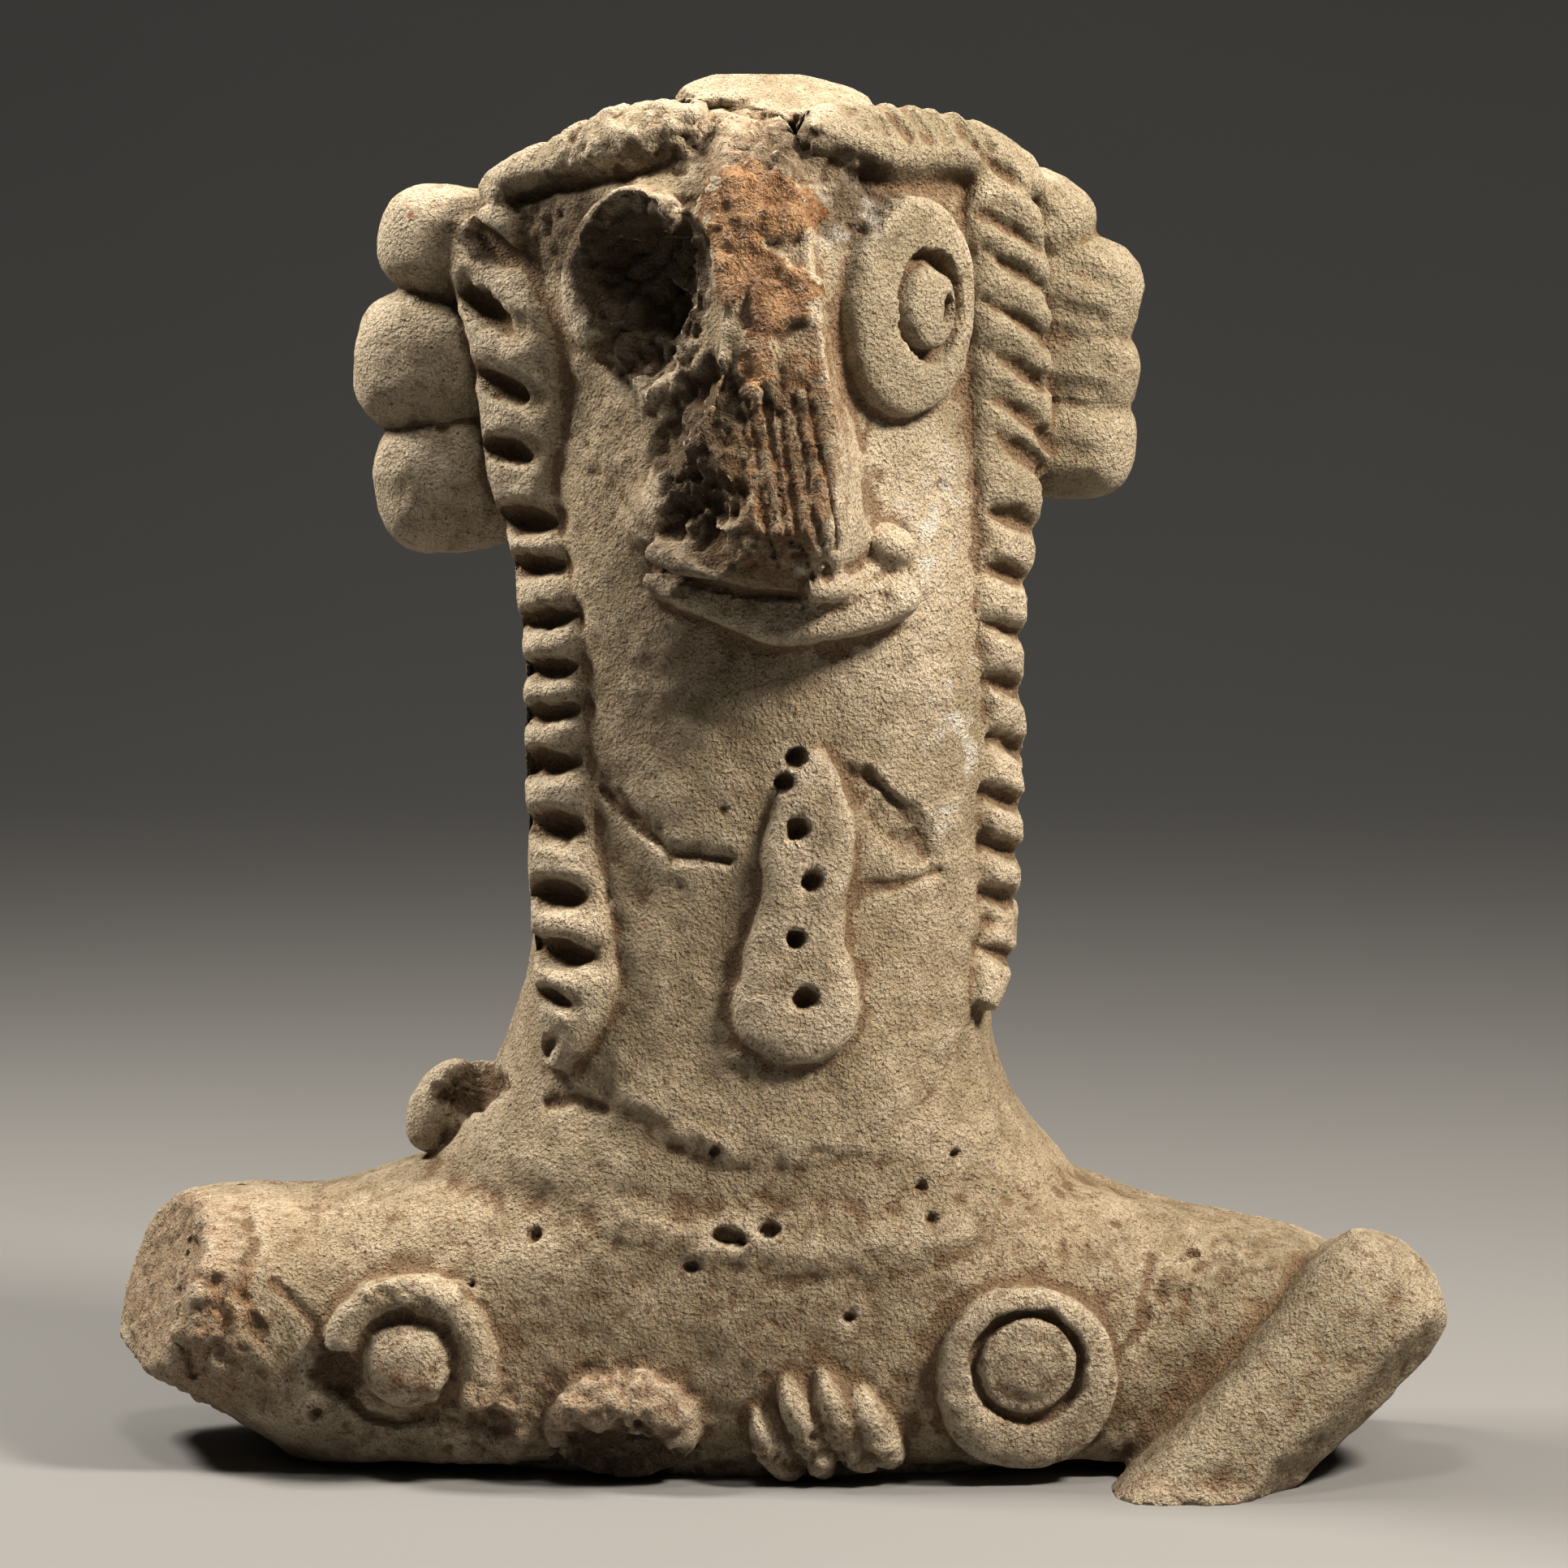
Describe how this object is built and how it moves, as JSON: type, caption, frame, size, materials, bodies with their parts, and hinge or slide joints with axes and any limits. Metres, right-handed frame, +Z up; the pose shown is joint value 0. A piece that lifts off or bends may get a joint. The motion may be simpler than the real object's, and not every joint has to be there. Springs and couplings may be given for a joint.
{
  "type": "terracotta bust",
  "caption": "Hand-pinched clay idol bust with a beak-like nose, pellet eyes, curls, notched tresses, a pendant and ringed breasts, broken off flat below the chest.",
  "frame": {"origin": "middle of the flat broken underside, in the plane that it stands on", "axes": "+Z up, the face looks along -Y, +X to the right of someone who faces it"},
  "size_m": [0.0953, 0.0334, 0.0988],
  "materials": {
    "clay": "matt, dry and sandy fired clay, greenish buff, with brown soil in the crevices"
  },
  "bodies": {
    "root": {"bust": "clay"}
  },
  "joints": []
}
